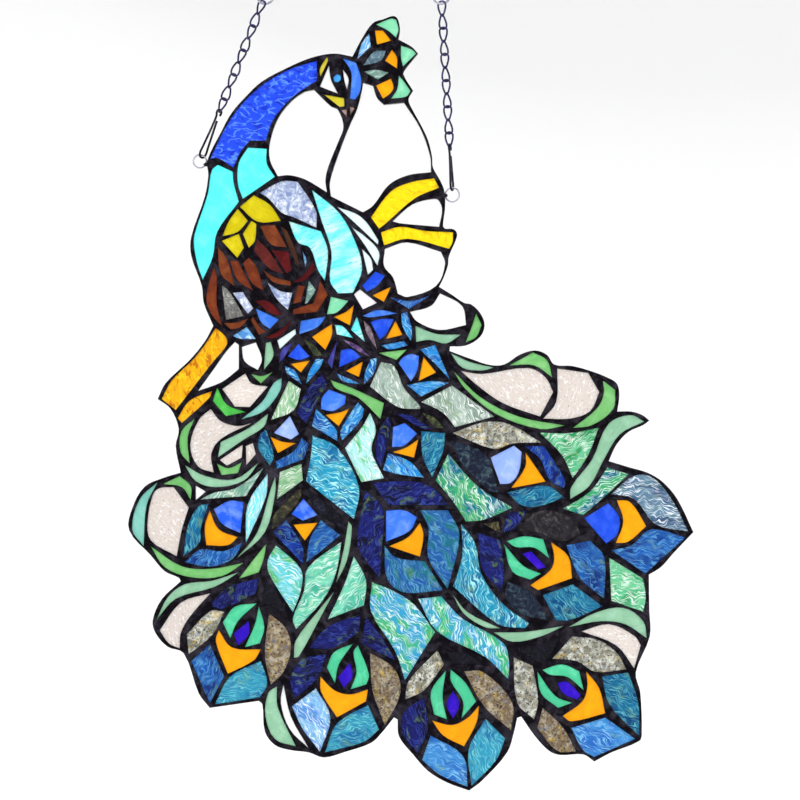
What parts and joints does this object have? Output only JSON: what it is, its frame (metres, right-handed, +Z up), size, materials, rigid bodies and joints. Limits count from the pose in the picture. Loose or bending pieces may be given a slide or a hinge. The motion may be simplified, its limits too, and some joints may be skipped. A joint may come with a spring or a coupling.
{
  "type": "stained glass panel",
  "caption": "Flat leaded glass panel cut to the outline of a peacock with a long tail, held by a chain at each side.",
  "frame": {"origin": "midway between the two end rings of the chains, at the height where the wall hooks bear inside them", "axes": "+Z up, the front of the panel faces -Y, +X to the right as seen from the front"},
  "size_m": [0.462, 0.008, 0.6597],
  "materials": {
    "blued_chain_wire": "blued",
    "cyan_opal_glass": "polished",
    "bright_ring_wire": "bright plated",
    "indigo_streak_glass": "polished",
    "deep_stripe_glass": "polished",
    "moss_marble_glass": "polished",
    "charcoal_glass": "polished",
    "peacock_stripe_glass": "polished",
    "blue_stripe_glass": "polished",
    "slate_streak_glass": "polished",
    "bronze_marble_glass": "polished",
    "teal_ripple_glass": "polished",
    "ice_blue_glass": "polished",
    "sky_ripple_glass": "polished",
    "amber_glass": "polished",
    "cobalt_glass": "polished",
    "clear_glass": "polished",
    "grey_stripe_glass": "polished",
    "white_stripe_glass": "polished",
    "teal_stripe_glass": "polished",
    "jungle_stripe_glass": "polished",
    "green_stripe_glass": "polished",
    "aqua_stripe_glass": "polished",
    "mint_stripe_glass": "polished",
    "lagoon_stripe_glass": "polished",
    "sage_glass": "polished",
    "yellow_glass": "polished",
    "cloud_glass": "polished",
    "dark_hook_wire": "dark plated",
    "dark_solder": "black patina, satin",
    "aqua_ripple_glass": "polished",
    "straw_glass": "polished",
    "milk_glass": "polished",
    "sky_glass": "polished",
    "azure_glass": "polished",
    "flesh_marble_glass": "polished",
    "mint_glass": "polished",
    "orange_glass": "polished",
    "sky_streak_glass": "polished",
    "mist_blue_glass": "polished",
    "mist_green_glass": "polished",
    "ice_glass": "polished",
    "olive_glass": "polished",
    "umber_glass": "polished",
    "dark_umber_glass": "polished",
    "garnet_glass": "polished",
    "garnet_brown_glass": "polished",
    "rust_glass": "polished",
    "smoke_glass": "polished",
    "leaf_green_glass": "polished",
    "bright_green_glass": "polished",
    "jade_glass": "polished",
    "ice_stripe_glass": "polished",
    "sage_stripe_glass": "polished",
    "meadow_stripe_glass": "polished",
    "royal_glass": "polished",
    "azure_streak_glass": "polished",
    "sky_stripe_glass": "polished",
    "pink_marble_glass": "polished",
    "violet_glass": "polished",
    "moss_glass": "polished",
    "plum_marble_glass": "polished",
    "blue_opal_glass": "polished",
    "pale_blue_glass": "polished",
    "royal_fade_glass": "polished",
    "navy_stripe_glass": "polished",
    "bronze_moss_glass": "polished",
    "night_glass": "polished",
    "night_moss_glass": "polished",
    "mint_opal_glass": "polished",
    "purple_glass": "polished"
  },
  "bodies": {
    "root": {"chain_left": "blued_chain_wire", "chain_right": "blued_chain_wire", "chest_left_glass": "cyan_opal_glass", "chest_right_glass": "cyan_opal_glass", "end_ring_left": "bright_ring_wire", "end_ring_right": "bright_ring_wire", "feather_13_crown_glass": "indigo_streak_glass", "feather_13_dusk_glass": "indigo_streak_glass", "feather_13_foot_glass": "deep_stripe_glass", "feather_13_side_glass": "deep_stripe_glass", "feather_14_crown_glass": "moss_marble_glass", "feather_15_crown_glass": "charcoal_glass", "feather_15_foot_glass": "peacock_stripe_glass", "feather_15_side_glass": "blue_stripe_glass", "feather_16_crown_glass": "slate_streak_glass", "feather_16_foot_glass": "blue_stripe_glass", "feather_17_bronze_glass": "bronze_marble_glass", "feather_17_foot_right_glass": "teal_ripple_glass", "feather_18_bronze_glass": "bronze_marble_glass", "feather_18_foot_left_glass": "ice_blue_glass", "feather_18_foot_right_glass": "teal_ripple_glass", "feather_19_foot_left_glass": "sky_ripple_glass", "feather_19_foot_right_glass": "teal_ripple_glass", "feather_19_marble_glass": "bronze_marble_glass", "feather_20_crown_glass": "moss_marble_glass", "feather_20_foot_glass": "sky_ripple_glass", "feather_20_side_glass": "peacock_stripe_glass", "leg_ribbon_glass": "amber_glass", "neck_glass": "cobalt_glass", "pane_crest_glass": "clear_glass", "pane_east_glass": "clear_glass", "pane_far_east_glass": "clear_glass", "pane_hook_glass": "clear_glass", "pane_left_glass": "clear_glass", "pane_neck_glass": "clear_glass", "pane_side_glass": "clear_glass", "pane_spotted_glass": "clear_glass", "pane_stripe_03_glass": "grey_stripe_glass", "pane_stripe_04_glass": "grey_stripe_glass", "pane_stripe_05_glass": "white_stripe_glass", "pane_stripe_06_glass": "teal_stripe_glass", "pane_stripe_07_glass": "jungle_stripe_glass", "pane_stripe_08_glass": "green_stripe_glass", "pane_stripe_09_glass": "jungle_stripe_glass", "pane_stripe_10_glass": "green_stripe_glass", "pane_stripe_11_glass": "aqua_stripe_glass", "pane_stripe_12_glass": "mint_stripe_glass", "pane_stripe_13_glass": "mint_stripe_glass", "pane_stripe_14_glass": "lagoon_stripe_glass", "pane_stripe_15_glass": "lagoon_stripe_glass", "pane_stripe_16_glass": "teal_stripe_glass", "panel_ring_left": "bright_ring_wire", "panel_ring_right": "bright_ring_wire", "ribbon_06_glass": "sage_glass", "ribbon_top_glass": "yellow_glass", "shoulder_glass": "cloud_glass", "snap_hook_left": "dark_hook_wire", "snap_hook_right": "dark_hook_wire", "solder_lattice": "dark_solder", "wing_outer_glass": "aqua_ripple_glass"}
  },
  "joints": []
}
